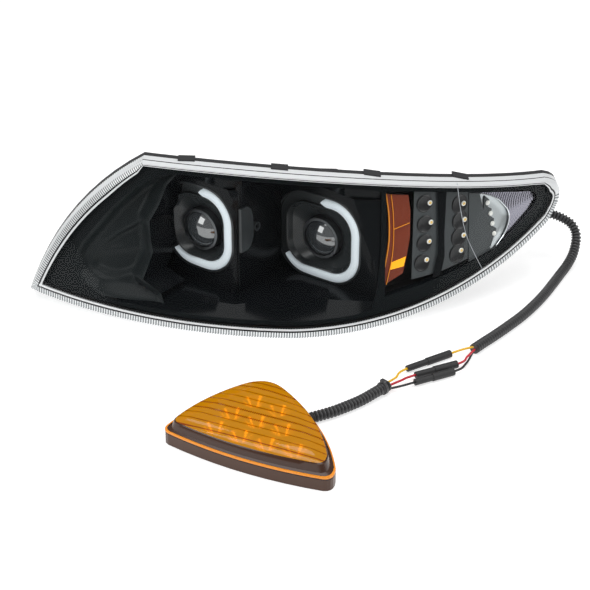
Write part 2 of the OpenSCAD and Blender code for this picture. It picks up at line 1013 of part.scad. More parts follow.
side_lamp_housing();
side_lamp_gasket();
side_lamp_lens();
side_lamp_bowls();
side_lamp_board();
side_lamp_leds();
side_lamp_screws();
side_lamp_grommet();
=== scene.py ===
"""Looks of the car headlight assembly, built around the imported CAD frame.

Sizes are in mm, scaled to metres.
"""
import json
import math

import bpy
from mathutils import Matrix, Vector
from mathutils import geometry


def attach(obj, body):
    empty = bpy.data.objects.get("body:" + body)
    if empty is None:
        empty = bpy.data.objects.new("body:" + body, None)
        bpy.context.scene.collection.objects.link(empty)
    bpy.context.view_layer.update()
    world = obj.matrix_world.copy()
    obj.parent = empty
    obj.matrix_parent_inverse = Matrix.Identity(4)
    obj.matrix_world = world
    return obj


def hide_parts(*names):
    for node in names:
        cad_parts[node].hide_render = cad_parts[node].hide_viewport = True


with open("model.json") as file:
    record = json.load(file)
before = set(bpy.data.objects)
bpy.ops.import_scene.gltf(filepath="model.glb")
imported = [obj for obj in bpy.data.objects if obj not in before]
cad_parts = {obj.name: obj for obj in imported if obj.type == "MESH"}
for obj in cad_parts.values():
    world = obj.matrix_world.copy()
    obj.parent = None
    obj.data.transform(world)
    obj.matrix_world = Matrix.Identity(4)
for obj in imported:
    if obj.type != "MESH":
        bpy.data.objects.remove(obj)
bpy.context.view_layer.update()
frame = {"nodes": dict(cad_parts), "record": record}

MM = 0.001
nodes = frame["nodes"]

# ---- camera ----

CAMERA_AT = (0, -1733.1, 894.4)
CAMERA_PITCH = 62        # degrees from straight down
CAMERA_ANGLE = 24.05


def add_camera():
    data = bpy.data.cameras.new("camera")
    data.angle = math.radians(CAMERA_ANGLE)
    camera = bpy.data.objects.new("camera", data)
    camera.location = Vector(CAMERA_AT) * MM
    camera.rotation_euler = (math.radians(CAMERA_PITCH), 0, 0)
    bpy.context.collection.objects.link(camera)
    bpy.context.scene.camera = camera


add_camera()

# ---- shapes of the part, the same as in the CAD ----

FRONT_Y = -170
LENS_R = 560
LENS_LEAN = math.radians(17)
LENS_X, LENS_Z = -40, 15
TIP_X, TOP_LEFT_X, TOP_RIGHT_X, LOW_RIGHT_X = -361, -196, 346, 352
PODS = {1: (-128, 95, 109), 2: (31, 102, 93)}
AIM = math.radians(36)


def face_y(x, z):
    """Y of the front of the lens."""
    bulge = LENS_R - math.sqrt(LENS_R ** 2 - (x - LENS_X) ** 2)
    return FRONT_Y + bulge / math.cos(LENS_LEAN) + (z - LENS_Z) * math.tan(LENS_LEAN)


def top_z(x):
    return 211 - (x + 203) ** 2 / 4074


def low_z(x):
    return -0.045 * x if x < 0 else 79 * (x / LOW_RIGHT_X) ** 2.2


def span(a, b, n):
    return [a + (b - a) * i / n for i in range(n)]


def bez(a, b, c, t):
    return tuple((1 - t) ** 2 * p + 2 * t * (1 - t) * q + t * t * r for p, q, r in zip(a, b, c))


def lens_outline():
    low_right, top_right = (LOW_RIGHT_X, low_z(LOW_RIGHT_X)), (TOP_RIGHT_X, top_z(TOP_RIGHT_X))
    top_left, tip = (TOP_LEFT_X, top_z(TOP_LEFT_X)), (TIP_X, low_z(TIP_X))
    return ([(x, low_z(x)) for x in span(TIP_X, LOW_RIGHT_X, 52)]
            + [bez(low_right, (393, 116), top_right, t) for t in span(0, 1, 14)]
            + [(x, top_z(x)) for x in span(TOP_RIGHT_X, TOP_LEFT_X, 30)]
            + [bez(top_left, (-304, 148), tip, t) for t in span(0, 1, 20)])


def inset(points, side, on_top):
    """Moves each corner inwards along its mitre; on_top is used where the edge faces up."""
    moved = []
    for i, p in enumerate(points):
        p = Vector(p)
        before = (p - Vector(points[i - 1])).normalized()
        after = (Vector(points[(i + 1) % len(points)]) - p).normalized()
        a, b = Vector((-before.y, before.x)), Vector((-after.y, after.x))
        m = (a + b).normalized()
        up = max(0.0, min(1.0, (-m.y - 0.76) / 0.2))
        d = (side + (on_top - side) * up) / max(0.5, m.dot(a))
        moved.append(tuple(p + m * d))
    return moved


OUTLINE = lens_outline()
BEZEL = inset(OUTLINE, 12, 4)


def on_lens(x, z, depth):
    """A point behind the front of the lens."""
    return (x, face_y(x, z) + depth, z)


def pod_point(i, x, y, z):
    """A point given along projector i's own axes."""
    px, py, pz = PODS[i]
    return (px + x * math.cos(AIM) + y * math.sin(AIM),
            FRONT_Y + py - x * math.sin(AIM) + y * math.cos(AIM), pz + z)


# ---- materials ----

def material(name, colour, rough=0.5, metal=0.0, **more):
    mat = bpy.data.materials.new(name)
    mat.use_nodes = True
    shader = mat.node_tree.nodes["Principled BSDF"]
    shader.inputs["Base Color"].default_value = (*colour, 1)
    shader.inputs["Roughness"].default_value = rough
    shader.inputs["Metallic"].default_value = metal
    for key, value in more.items():
        shader.inputs[key.replace("_", " ")].default_value = value
    return mat


def bumpy(mat, scale, strength, stretch=(1, 1, 1)):
    """Fine grain on a material; scale is in waves per metre."""
    tree = mat.node_tree
    place = tree.nodes.new("ShaderNodeTexCoord")
    size = tree.nodes.new("ShaderNodeMapping")
    noise = tree.nodes.new("ShaderNodeTexNoise")
    bump = tree.nodes.new("ShaderNodeBump")
    size.inputs["Scale"].default_value = stretch
    noise.inputs["Scale"].default_value = scale
    noise.inputs["Detail"].default_value = 3
    bump.inputs["Strength"].default_value = strength
    bump.inputs["Distance"].default_value = 0.0003
    tree.links.new(place.outputs["Object"], size.inputs["Vector"])
    tree.links.new(size.outputs["Vector"], noise.inputs["Vector"])
    tree.links.new(noise.outputs["Fac"], bump.inputs["Height"])
    tree.links.new(bump.outputs["Normal"], tree.nodes["Principled BSDF"].inputs["Normal"])
    return mat


def see_through(name, tint, gloss_at_front, own=None, share=0.0):
    """Clear plastic: tinted and transparent, with gloss that grows towards grazing angles.
    own and share mix in a diffuse colour: the amber plastic's own colour, painted brightness of the white
    surroundings on the ribbed band, and painted shade on darker rib faces."""
    mat = bpy.data.materials.new(name)
    mat.use_nodes = True
    tree = mat.node_tree
    tree.nodes.remove(tree.nodes["Principled BSDF"])
    out = tree.nodes["Material Output"]
    clear = tree.nodes.new("ShaderNodeBsdfTransparent")
    clear.inputs["Color"].default_value = (*tint, 1)
    gloss = tree.nodes.new("ShaderNodeBsdfGlossy")
    gloss.inputs["Roughness"].default_value = 0.04
    facing = tree.nodes.new("ShaderNodeLayerWeight")
    power = tree.nodes.new("ShaderNodeMath")
    power.operation = "POWER"
    power.inputs[1].default_value = 6
    scale = tree.nodes.new("ShaderNodeMath")
    scale.operation = "MULTIPLY_ADD"
    scale.inputs[1].default_value = 0.4
    scale.inputs[2].default_value = gloss_at_front
    mix = tree.nodes.new("ShaderNodeMixShader")
    tree.links.new(facing.outputs["Facing"], power.inputs[0])
    tree.links.new(power.outputs[0], scale.inputs[0])
    tree.links.new(scale.outputs[0], mix.inputs[0])
    body = clear
    if own:
        colour = tree.nodes.new("ShaderNodeBsdfDiffuse")
        colour.inputs["Color"].default_value = (*own, 1)
        body = tree.nodes.new("ShaderNodeMixShader")
        body.inputs[0].default_value = share
        tree.links.new(clear.outputs[0], body.inputs[1])
        tree.links.new(colour.outputs[0], body.inputs[2])
    tree.links.new(body.outputs[0], mix.inputs[1])
    tree.links.new(gloss.outputs[0], mix.inputs[2])
    tree.links.new(mix.outputs[0], out.inputs["Surface"])
    return mat


FINISH = {
    "clear_lens": see_through("clear_lens", (0.97, 0.98, 0.98), 0.01),
    "black_seal": material("black_seal", (0.02, 0.02, 0.02), 0.8),
    "housing_black": bumpy(material("housing_black", (0.018, 0.018, 0.02), 0.5), 1500, 0.3),
    "bezel_black": material("bezel_black", (0.004, 0.005, 0.006), 0.2, Specular_IOR_Level=0.12),
    "amber_lens": material("amber_lens", (0.2, 0.034, 0.012), 0.2),
    "panel_dark": material("panel_dark", (0.05, 0.057, 0.06), 0.35),
    "circuit_board": material("circuit_board", (0.01, 0.07, 0.03), 0.45),
    "amber_led": material("amber_led", (0.9, 0.62, 0.2), 0.2),
    "white_led": material("white_led", (0.9, 0.9, 0.85), 0.2),
    "satin_silver": material("satin_silver", (0.5, 0.53, 0.54), 0.35, 1.0),
    "chrome_flute": material("chrome_flute", (0.78, 0.77, 0.82), 0.16, 1.0),
    "corner_flute": material("corner_flute", (0.3, 0.29, 0.34), 0.16, 1.0),
    # White plastic; its emission is a painted glow, since the guides are not lit.
    "guide_white": material("guide_white", (0.62, 0.68, 0.71), 0.3, Emission_Color=(0.85, 0.93, 1, 1),
                            Emission_Strength=0.22),
    "shroud_satin": material("shroud_satin", (0.03, 0.034, 0.036), 0.25),
    "scoop_satin": material("scoop_satin", (0.012, 0.015, 0.016), 0.3, Specular_IOR_Level=0.12),
    # Near-black valleys of the corrugated loom: painted shade in the corrugation.
    "loom_valley_painted_shade": material("loom_valley_painted_shade", (0.004, 0.004, 0.004), 0.7),
    "border_satin": material("border_satin", (0.006, 0.008, 0.009), 0.3, Specular_IOR_Level=0.08),
    "disc_dark": material("disc_dark", (0.008, 0.008, 0.009), 0.3),
    "bright_rim": material("bright_rim", (0.85, 0.87, 0.9), 0.12, 1.0),
    "projector_glass": material("projector_glass", (0.05, 0.055, 0.06), 0.03, IOR=2.6),
    "ring_metal": material("ring_metal", (0.2, 0.21, 0.22), 0.3, 1.0),
    "dark_metal": material("dark_metal", (0.03, 0.03, 0.034), 0.35, 0.5),
    "bracket_metal": bumpy(material("bracket_metal", (0.4, 0.4, 0.42), 0.35, 1.0), 300, 0.1, (1, 1, 12)),
    "heat_sink_metal": bumpy(material("heat_sink_metal", (0.55, 0.55, 0.57), 0.5, 1.0), 1800, 0.3),
    "screw_nylon": material("screw_nylon", (0.65, 0.6, 0.45), 0.5),
    "loom_black": material("loom_black", (0.05, 0.05, 0.052), 0.36),
    "wire_yellow": material("wire_yellow", (0.85, 0.5, 0.02), 0.35),
    "wire_red": material("wire_red", (0.55, 0.02, 0.04), 0.35),
    "wire_black": material("wire_black", (0.015, 0.015, 0.015), 0.4),
    "sleeve_black": bumpy(material("sleeve_black", (0.02, 0.02, 0.021), 0.55), 1200, 0.15),
    "amber_side_lens": see_through("amber_side_lens", (1.0, 0.52, 0.05), 0.05, (1.0, 0.4, 0.005), 0.5),
    "side_base": material("side_base", (0.06, 0.02, 0.006), 0.3),
    "steel_screw": material("steel_screw", (0.55, 0.55, 0.55), 0.3, 1.0),
}
# The ribbed band's white diffuse share is painted brightness: it stands for the white surroundings seen
# through the ribs.
RIBBED_CLEAR_PAINTED_BRIGHTNESS = see_through("ribbed_clear_painted_brightness", (0.97, 0.98, 0.98), 0.08, (0.92, 0.94, 0.95), 0.75)
# A near-black line of painted shadow beside the bezel and along the top skirt, where the seal shades the
# clear band.
SEAL_PAINTED_SHADOW = material("seal_painted_shadow", (0.01, 0.01, 0.012), 0.25)
# Every other rib of the band gets this darker material: painted shade between the ribs.
RIB_PAINTED_SHADE = see_through("rib_painted_shade", (0.6, 0.63, 0.64), 0.08, (0.2, 0.22, 0.23), 0.6)
SEAM_LINE = material("seam_line", (0.45, 0.47, 0.5), 0.3)
# A painted highlight on the amber reflector, lit by its own emission.
AMBER_PAINTED_HIGHLIGHT = material("amber_painted_highlight", (0.95, 0.42, 0.01), 0.3, Emission_Color=(1, 0.4, 0, 1),
                        Emission_Strength=0.45)
AMBER_LINE = material("amber_line", (0.9, 0.3, 0.02), 0.25)
# Darker amber on the steep step of each rib of the side lamp: painted shade.
AMBER_RIB_PAINTED_SHADE = see_through("amber_rib_painted_shade", (0.8, 0.2, 0.02), 0.05, (0.4, 0.08, 0.004), 0.6)
LAMP_WALL = material("lamp_wall", (0.05, 0.018, 0.008), 0.2)


def dress_nodes():
    for part in frame["record"]["subparts"]:
        mesh = nodes[part["node"]].data
        mesh.materials.clear()
        mesh.materials.append(FINISH[part["material_slot"]])


dress_nodes()

# ---- mesh helpers ----

def build(name, verts, faces, mat, body="root", crease=30, slot=None):
    mesh = bpy.data.meshes.new(name)
    mesh.from_pydata([tuple(c * MM for c in v) for v in verts], [], faces)
    mesh.update()
    for polygon in mesh.polygons:
        polygon.use_smooth = True
    mesh.set_sharp_from_angle(angle=math.radians(crease))
    mesh.materials.append(mat)
    obj = bpy.data.objects.new(name, mesh)
    bpy.context.collection.objects.link(obj)
    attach(obj, body)
    return obj


def loft(rings, closed=True, caps=False):
    """Verts and faces of a skin through rings of the same number of points."""
    n = len(rings[0])
    verts = [p for ring in rings for p in ring]
    faces = []
    for k in range(len(rings) - 1):
        for i in range(n if closed else n - 1):
            j = (i + 1) % n
            faces.append((k * n + i, k * n + j, (k + 1) * n + j, (k + 1) * n + i))
    if caps:
        faces.append(tuple(reversed(range(n))))
        faces.append(tuple(range((len(rings) - 1) * n, len(rings) * n)))
    return verts, faces


def frames_along(path):
    """Side and up directions at each point of a path, without sudden twists."""
    up = Vector((0, 0, 1))
    result = []
    for i, p in enumerate(path):
        ahead = (path[min(i + 1, len(path) - 1)] - path[max(i - 1, 0)]).normalized()
        side = ahead.cross(up).normalized()
        up = side.cross(ahead).normalized()
        result.append((side, up))
    return result


def tube(path, radii, sides=14):
    rings = []
    for p, r, (side, up) in zip(path, radii, frames_along(path)):
        turns = [2 * math.pi * k / sides for k in range(sides)]
        rings.append([tuple(p + r * (math.cos(a) * side + math.sin(a) * up)) for a in turns])
    return loft(rings, True, True)


def smooth_path(points, step):
    """A curve through the points, with a point every step or so."""
    pts = [Vector(p) for p in points]
    pts = [2 * pts[0] - pts[1]] + pts + [2 * pts[-1] - pts[-2]]
    path = []
    for a, b, c, d in zip(pts, pts[1:], pts[2:], pts[3:]):
        count = max(1, round((c - b).length / step))
        for i in range(count):
            t = i / count
            path.append(0.5 * (2 * b + (c - a) * t + (2 * a - 5 * b + 4 * c - d) * t * t
                               + (3 * b - a - 3 * c + d) * t ** 3))
    path.append(pts[-2])
    return path


# ---- cords: x, distance behind the front of the lens, z ----

LOOM_A = [(300, 228, 80), (301, 240, 80), (307, 252, 78), (319, 261, 74), (335, 264, 69), (351, 261, 65),
          (368, 255, 61), (384, 248, 57), (397, 241, 50), (403, 232, 39), (401, 220, 27), (395, 206, 17),
          (385, 189, 10), (372, 167, 7), (358, 140, 7), (342, 110, 7), (324, 80, 7), (303, 49, 7),
          (280, 20, 7), (258, -6, 7), (240, -26, 7), (228, -40, 7)]
LOOM_B = [(112, -131, 8.5), (97, -146, 8.5), (80, -161, 7), (62, -175, 7), (46, -186, 7), (33, -193, 7),
          (21, -199, 7)]
WIRES = {
    "yellow": [(228, -38, 9), (214, -41, 7), (199, -47, 5), (137, -87, 5), (124, -108, 6), (112, -128.5, 11)],
    "red": [(228, -42, 7), (217, -60, 7.5), (205, -73, 5), (146, -102, 5), (130, -115, 6), (113, -131, 8)],
    "black": [(226, -43.5, 3.9), (214, -72, 4), (199, -91, 5), (144, -119, 5), (128, -127, 5),
              (112, -134, 5.5)],
}
LOOM_D, WIRE_D = 14, 3
RIB_PITCH = 4.8


def in_frame(route):
    return [(x, y + FRONT_Y, z) for x, y, z in route]


def length_of(path):
    return sum((b - a).length for a, b in zip(path, path[1:]))


def corrugated(name, route):
    """A corrugated conduit: each rib has a flat crest and a narrow valley."""
    rough = smooth_path(in_frame(route), 1)
    steps = 4 * round(length_of(rough) / RIB_PITCH)
    path = [p for p in evenly(rough, steps)]
    profile = [1, 1, 0.74, 0.74]
    radii = [LOOM_D / 2 * profile[i % 4] for i in range(len(path))]
    obj = build(name, *tube(path, radii, 18), FINISH["loom_black"], crease=40, slot="loom_black")
    # The valley faces get the painted shade material.
    obj.data.materials.append(FINISH["loom_valley_painted_shade"])
    for face in obj.data.polygons:
        face.material_index = 1 if face.index // 18 % 4 == 2 else 0
    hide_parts(name.replace("conduit", "loom"))


def evenly(path, count):
    """The path again, with count equal steps."""
    total = length_of(path)
    result, k, done = [], 0, 0.0
    for i in range(count + 1):
        want = total * i / count
        while k < len(path) - 2 and done + (path[k + 1] - path[k]).length < want:
            done += (path[k + 1] - path[k]).length
            k += 1
        piece = (path[k + 1] - path[k]).length
        result.append(path[k].lerp(path[k + 1], min(1, (want - done) / piece)))
    return result


def add_wire(colour, route):
    path = smooth_path(in_frame(route), 3)
    slot = "wire_" + colour
    obj = build("lead_" + colour, *tube(path, [WIRE_D / 2] * len(path), 10), FINISH[slot], slot=slot)
    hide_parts(slot)


corrugated("conduit_a", LOOM_A)
corrugated("conduit_b", LOOM_B)
for colour, route in WIRES.items():
    add_wire(colour, route)

# ---- the clear lens ----

def inside(point, outline):
    x, z = point
    odd = False
    for (x0, z0), (x1, z1) in zip(outline, outline[1:] + outline[:1]):
        if (z0 > z) != (z1 > z) and x < x0 + (z - z0) * (x1 - x0) / (z1 - z0):
            odd = not odd
    return odd


def gap(point, outline):
    """Distance from a point to an outline."""
    p = Vector(point)
    best = 1e9
    for a, b in zip(outline, outline[1:] + outline[:1]):
        a, b = Vector(a), Vector(b)
        t = max(0, min(1, (p - a).dot(b - a) / max(1e-9, (b - a).length_squared)))
        best = min(best, (p - a - t * (b - a)).length)
    return best


def divided(outline, step):
    result = []
    for a, b in zip(outline, outline[1:] + outline[:1]):
        a, b = Vector(a), Vector(b)
        count = max(1, round((b - a).length / step))
        result += [tuple(a.lerp(b, i / count)) for i in range(count)]
    return result


def region(outline, step, holes=()):
    """Points and triangles that fill an outline less its holes."""
    loops = [divided(loop, step) for loop in (outline, *holes)]
    points, edges = [], []
    for loop in loops:
        first = len(points)
        points += loop
        edges += [(first + i, first + (i + 1) % len(loop)) for i in range(len(loop))]
    xs, zs = [p[0] for p in outline], [p[1] for p in outline]
    for row in range(int((max(zs) - min(zs)) / step) + 1):
        for column in range(int((max(xs) - min(xs)) / step) + 1):
            p = (min(xs) + column * step + (row % 2) * step / 2, min(zs) + row * step)
            if inside(p, outline) and not any(inside(p, h) for h in holes):
                if min(gap(p, loop) for loop in (outline, *holes)) > 0.4 * step:
                    points.append(p)
    found = geometry.delaunay_2d_cdt([Vector(p) for p in points], edges, [], 0, 1e-5)
    flat = [tuple(p) for p in found[0]]
    keep = []
    for tri in found[2]:
        middle = tuple(sum(flat[i][k] for i in tri) / 3 for k in (0, 1))
        if inside(middle, outline) and not any(inside(middle, h) for h in holes):
            keep.append(tuple(tri))
    return flat, keep


def sheet(name, outline, depth, mat, step=9, holes=(), thick=None, slot=None, crease=30):
    """A panel that follows the front of the lens, depth behind it; thick makes it a closed plate."""
    flat, tris = region(outline, step, holes)
    verts = [on_lens(x, z, depth) for x, z in flat]
    faces = list(tris)
    if thick:
        n = len(verts)
        verts += [on_lens(x, z, depth + thick) for x, z in flat]
        faces += [tuple(n + i for i in reversed(t)) for t in tris]
        once = {}
        for t in tris:
            for a, b in zip(t, t[1:] + t[:1]):
                once[(a, b)] = (b, a) not in once
                if (b, a) in once:
                    once[(b, a)] = False
        faces += [(a, a + n, b + n, b) for (a, b), edge in once.items() if edge]
    return build(name, verts, faces, mat, crease=crease, slot=slot)


def skirt_strip_look(z_on_top, ring):
    """Which material a strip of the border has, from the bezel outwards and back: 0 the ribbed band with
    painted brightness, 1 a line of painted shadow, 2 painted rib shade.
    """
    return {0: 0, 1: 1, 2: 2, 3: 2, 4: 0, 5: 1 if z_on_top else 2, 6: 0}[ring]


def ribbed_edge():
    """The lens' ribbed border and the wall that runs back to the housing, with the material index of each
    face, which places the painted shadow line and the painted rib shade.
    """
    rings = [[] for _ in range(8)]
    tops = []
    for i, (a, b) in enumerate(zip(OUTLINE, OUTLINE[1:] + OUTLINE[:1])):
        inner_a, inner_b = BEZEL[i], BEZEL[(i + 1) % len(BEZEL)]
        count = max(2, 2 * round((Vector(b) - Vector(a)).length / 3.4))
        top = min(a[0], b[0]) > TOP_LEFT_X - 4 and a[1] > 110
        for k in range(count):
            outer = Vector(a).lerp(Vector(b), k / count)
            inner = Vector(inner_a).lerp(Vector(inner_b), k / count)
            notch = 0.0 if top or k % 2 == 0 else 0.1
            places = [(0, 0.4), (0.2, 0.4), (0.38, 0.6), (0.88 - notch, 0.2 + 5 * notch), (1 - notch, 1.5),
                      (1 - notch, 10), (1 - notch, 12.5), (1 - notch, 25.8)]
            for ring, (t, depth) in zip(rings, places):
                ring.append(on_lens(*inner.lerp(outer, t), depth))
            tops.append(top)
    verts, faces = loft(rings)
    n = len(rings[0])
    strip_look = []
    for k, face in enumerate(faces):
        ring, i = divmod(k, n)
        style = skirt_strip_look(tops[i], ring)
        # Every other rib strip gets painted rib shade.
        if style == 2:
            style = 0 if i % 2 or tops[i] else 2
        strip_look.append(style)
    return verts, faces, strip_look


def add_lens():
    face = sheet("lens_face", BEZEL, 0.4, FINISH["clear_lens"], 10, slot="clear_lens")
    verts, faces, strip_look = ribbed_edge()
    edge = build("lens_edge", verts, faces, RIBBED_CLEAR_PAINTED_BRIGHTNESS, crease=50, slot="clear_lens")
    # Extra materials: the painted shadow line and the painted rib shade.
    edge.data.materials.append(SEAL_PAINTED_SHADOW)
    edge.data.materials.append(RIB_PAINTED_SHADE)
    for polygon, index in zip(edge.data.polygons, strip_look):
        polygon.material_index = index
    seam = [Vector(on_lens(x, z, 0.9)) for x, z in [(213, 170), (219, 134), (228, 100), (242, 70), (253, 49)]]
    path = smooth_path(seam, 6)
    line = build("lens_seam", *tube(path, [0.45] * len(path), 6), SEAM_LINE, slot="clear_lens")
    for obj in (face, edge, line):
        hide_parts("outer_lens")


add_lens()

# ---- bezel ----

POD_WINDOW = ([(x, low_z(x) + 17) for x in span(-242, 100, 20)]
              + [(100, 24), (108, 50), (112, 100), (112, 170)]
              + [(x, top_z(x) - 13) for x in span(104, -150, 14)]
              + [(-161, 197), (-180, 191), (-207, 176), (-239, 147), (-264, 118), (-283, 94), (-291, 80),
                 (-295, 67), (-291, 51), (-281, 41), (-265, 33)])
SIGNAL_WINDOW = ([(118, 38), (131, 41), (160, 45), (190, 50), (228, 57), (266, 66), (300, 85), (326, 102),
                  (335, 113), (332, 121)]
                 + [(x, top_z(x) - 13) for x in span(322, 118, 12)] + [(118, 172)])
SCOOP = ([(-242, 30), (-200, 28), (-172, 27), (-176, 40), (-200, 56), (-192, 76), (-186, 92), (-189, 108),
          (-190, 130), (-177, 152), (-166, 178), (-150, 196)]
         + [(-161, 198), (-180, 192), (-207, 177), (-239, 148), (-264, 119), (-284, 95), (-292, 81),
            (-296, 67), (-292, 50), (-281, 39), (-265, 31)])
TEARDROP = [(-190, 131), (-206, 125), (-219, 117), (-233, 110), (-245, 101), (-254, 94), (-262, 87),
            (-268, 79), (-273, 66), (-271, 59), (-267, 54), (-258, 51), (-250, 49), (-240, 49),
            (-230, 50), (-217, 55), (-204, 60), (-192, 77), (-186, 89), (-188, 108)]


def eased(t):
    t = max(0.0, min(1.0, t))
    return t * t * (3 - 2 * t)


def scoop_depth(x, z):
    """How far the hollow beside the inner projector, with its creased teardrop, goes behind the lens."""
    depth = 10.5 + 15 * eased(gap((x, z), SCOOP) / 18) + 12 * eased((x + 260) / 80)
    if inside((x, z), TEARDROP):
        crease = abs(z - 79 - 0.19 * (x + 268))
        depth += 6 * eased(gap((x, z), TEARDROP) / 9) * (1 - 0.4 * math.exp(-crease / 4))
    return depth


BEHIND_BORDER = 12.6     # how far behind the lens face the bezel's back starts
BELOW_TOP = 13           # how far the bezel stays under the lamp's top edge
ROOF_START = (85, 200)   # where the inside of the sloping roof starts: distance behind the front, z
ROOF_SLOPE = math.radians(28)
ROOF_LEFT_X = -168       # the scoop takes over from the roof left of here


def inside_housing(point):
    """Moves a point of the bezel's back so that it stays behind the border and under the roof."""
    x, y, z = point
    y = max(y, face_y(x, z) + BEHIND_BORDER)
    past = max(0.0, y - FRONT_Y - ROOF_START[0])
    return (x, y, min(z, top_z(x) - BELOW_TOP, ROOF_START[1] - past * math.tan(ROOF_SLOPE)))


def relief_sheet(name, outline, depth_at, mat, step, slot=None, crease=30, node=None):
    flat, tris = region(outline, step)
    verts = [on_lens(x, min(z, top_z(x) - BELOW_TOP), depth_at(x, z)) for x, z in flat]
    obj = build(name, verts, tris, mat, crease=crease, slot=slot)
    if node:
        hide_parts(node)
    return obj


GUIDE = {1: (50, 52, 5.5), 2: (59, 53, 2.5)}      # half width, half height and lift of each light guide
GUIDE_CORNER = 38


def round_rect(i, grow, count=96):
    """Points round a light guide's outline grown by grow, from the top, clockwise as seen from in front."""
    half_w, half_h, lift = GUIDE[i]
    half_w, half_h, r = half_w + grow, half_h + grow, GUIDE_CORNER + grow
    corners = [(1, 1, 90), (1, -1, 0), (-1, -1, -90), (-1, 1, -180)]
    dense = []
    for sx, sz, start in corners:
        for k in range(25):
            a = math.radians(start - 90 * k / 24)
            dense.append((sx * (half_w - r) + r * math.cos(a), lift + sz * (half_h - r) + r * math.sin(a)))
    path = [Vector((x, z, 0)) for x, z in dense + dense[:1]]
    return [(p.x, p.y) for p in evenly(path, count)[:-1]]


def pod_plane_y(i, x):
    """Row Y of pod i's front plane above row position x."""
    px, py, _ = PODS[i]
    return FRONT_Y + py - (x - px) * math.tan(AIM)


def add_pod_panel(i, x_from, x_to):
    """The bezel's plane round pod i, with the opening for its shroud.
    It is rounded towards the wall between pods."""
    low = 33 - PODS[i][2]
    top = [(x, top_z(PODS[i][0] + x * math.cos(AIM)) - 27 - PODS[i][2]) for x in span(x_to, x_from, 10)]
    outline = [(x_from, low), (x_to, low)] + top + [(x_from, top[-1][1])]
    hole = round_rect(i, 9.2, 72)
    if i == 2:
        hole = [(max(x, x_from + 0.1), z) for x, z in hole]
        hole = [p for k, p in enumerate(hole) if p != hole[k - 1]]
    flat, tris = region(outline, 7, [hole])
    verts = []
    for x, z in flat:
        edge = max(0.0, x - 57) if i == 1 else 0.0
        verts.append(inside_housing(pod_point(i, x, 0.4 + 0.11 * edge * edge, z)))
    obj = build(f"bezel_pod_{i}", verts, tris, FINISH["bezel_black"], slot="bezel_black")
    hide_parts("inner_bezel")


def add_bezel_wall():
    """The wall that runs back from pod 1's plane to pod 2's, with its round-ended tab and screw boss."""
    rows = []
    for z in (-62, 0, 60, 102):
        rows.append([inside_housing(pod_point(2, -61.5, -97 + 9.8 * k, z)) for k in range(11)])
    verts, faces = loft(rows, closed=False)
    faces = [tuple(reversed(f)) for f in faces]
    wall = build("bezel_wall", verts, faces, FINISH["bezel_black"], slot="bezel_black")
    tab = [(-93, 0), (-93, 62), (-80, 62), (-72, 56), (-68, 44), (-67, 28), (-68, 14), (-73, 4), (-80, 0)]
    rings = [[pod_point(2, -61 + out, y + (0.8 if out > 2 else 0), z) for y, z in tab] for out in (0, 3.2, 4)]
    side_tab = build("bezel_tab", *loft(rings, True, True), FINISH["shroud_satin"], slot="bezel_black")
    rings = []
    for r, out in ((6.5, 0), (6.5, 5), (4.2, 5), (4.2, 1)):
        turns = [2 * math.pi * k / 24 for k in range(24)]
        rings.append([pod_point(2, -61.3 + out, -59 + r * math.cos(a), 26 + r * math.sin(a)) for a in turns])
    boss = build("bezel_boss", *loft(rings), FINISH["shroud_satin"], slot="bezel_black")
    for obj in (wall, side_tab, boss):
        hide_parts("inner_bezel")


def add_shelf_and_roof():
    """The level shelf under the projectors and the roof over them, from the border back to the pod planes."""
    columns = [x for x in range(-236, 113, 6)]
    shelf, roof = [[], [], []], [[], [], []]
    for x in columns:
        back = pod_plane_y(1, x) if x < -74 else pod_plane_y(2, x)
        if -74 <= x < -19:
            back = pod_plane_y(1, -77) + (x + 77) / math.tan(AIM)
        if x < -172:
            back = min(back, FRONT_Y + 118)
        z_low, z_top = low_z(x) + 16.6, top_z(x) - BELOW_TOP
        front = face_y(x, z_low) + 11
        back = max(back, front + 2)
        for row, t in zip(shelf, (0, 0.35, 1)):
            row.append((x, front + t * (back - front), z_low + (34 - z_low) * eased(2.5 * t)))
        front = face_y(x, z_top) + 11
        back = max(back, front + 2)
        if x < ROOF_LEFT_X:
            continue
        for row, t in zip(roof, (0, 0.5, 1)):
            row.append(inside_housing((x, front + t * (back - front), z_top - 14 * t * t)))
    for name, rows in (("bezel_shelf", shelf), ("bezel_roof", roof)):
        verts, faces = loft(rows, closed=False)
        obj = build(name, verts, faces, FINISH["bezel_black"], slot="bezel_black")
        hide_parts("inner_bezel")


def add_lip(name, edge, near, far):
    """A thin wall behind an opening's edge, from depth near to depth far."""
    loop = divided(edge, 5)
    verts, faces = loft([[on_lens(x, z, d) for x, z in loop] for d in (near, far)])
    obj = build(name, verts, faces, FINISH["bezel_black"], slot="bezel_black")
    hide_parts("inner_bezel")


